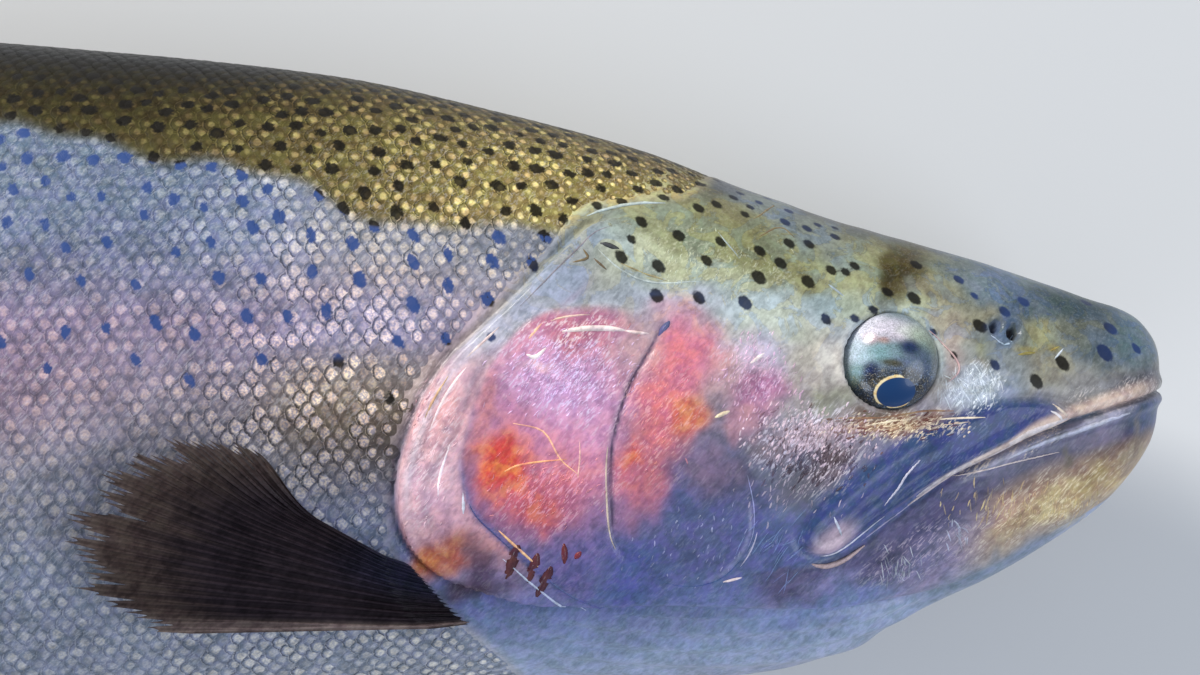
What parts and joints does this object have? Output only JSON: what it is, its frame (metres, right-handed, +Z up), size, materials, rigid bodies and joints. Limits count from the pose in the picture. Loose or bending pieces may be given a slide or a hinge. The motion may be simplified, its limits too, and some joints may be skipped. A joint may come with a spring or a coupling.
{
  "type": "rainbow trout",
  "caption": "Life-size rainbow trout lying still on its left flank, right flank, eye and gill cover up, with spread tail, back, belly and side fins.",
  "frame": {"origin": "middle of the fish's box, on the floor it lies on", "axes": "+X from tail to snout, +Y from belly to back, +Z up, out of the right flank"},
  "size_m": [0.8598, 0.2558, 0.1149],
  "materials": {
    "back_skin": "wet fish skin, olive with black spots",
    "flank_skin": "wet scaled fish skin, silver with a pink sheen",
    "gill_pink": "wet fish skin, rose over silver",
    "jaw_skin": "wet fish skin, slate and violet",
    "throat_skin": "wet fish skin, pale blue grey",
    "fin_dark": "wet fin membrane over rays, near black",
    "fin_olive": "wet fin membrane over rays, spotted olive",
    "eye": "clear gloss cornea over a gold-ringed iris"
  },
  "bodies": {
    "root": {"head": "back_skin", "lower_jaw": "jaw_skin", "maxilla_right": "jaw_skin", "maxilla_left": "jaw_skin", "gill_cover_right": "gill_pink", "gill_cover_left": "gill_pink", "throat": "throat_skin", "eye_right": "eye", "eye_left": "eye", "trunk": "flank_skin", "tail_stalk": "flank_skin", "dorsal_fin": "fin_olive", "adipose_fin": "back_skin", "anal_fin": "fin_olive", "tail_fin": "fin_olive", "pectoral_fin_right": "fin_dark", "pectoral_fin_left": "fin_dark", "pelvic_fin_right": "fin_dark", "pelvic_fin_left": "fin_dark"}
  },
  "joints": []
}
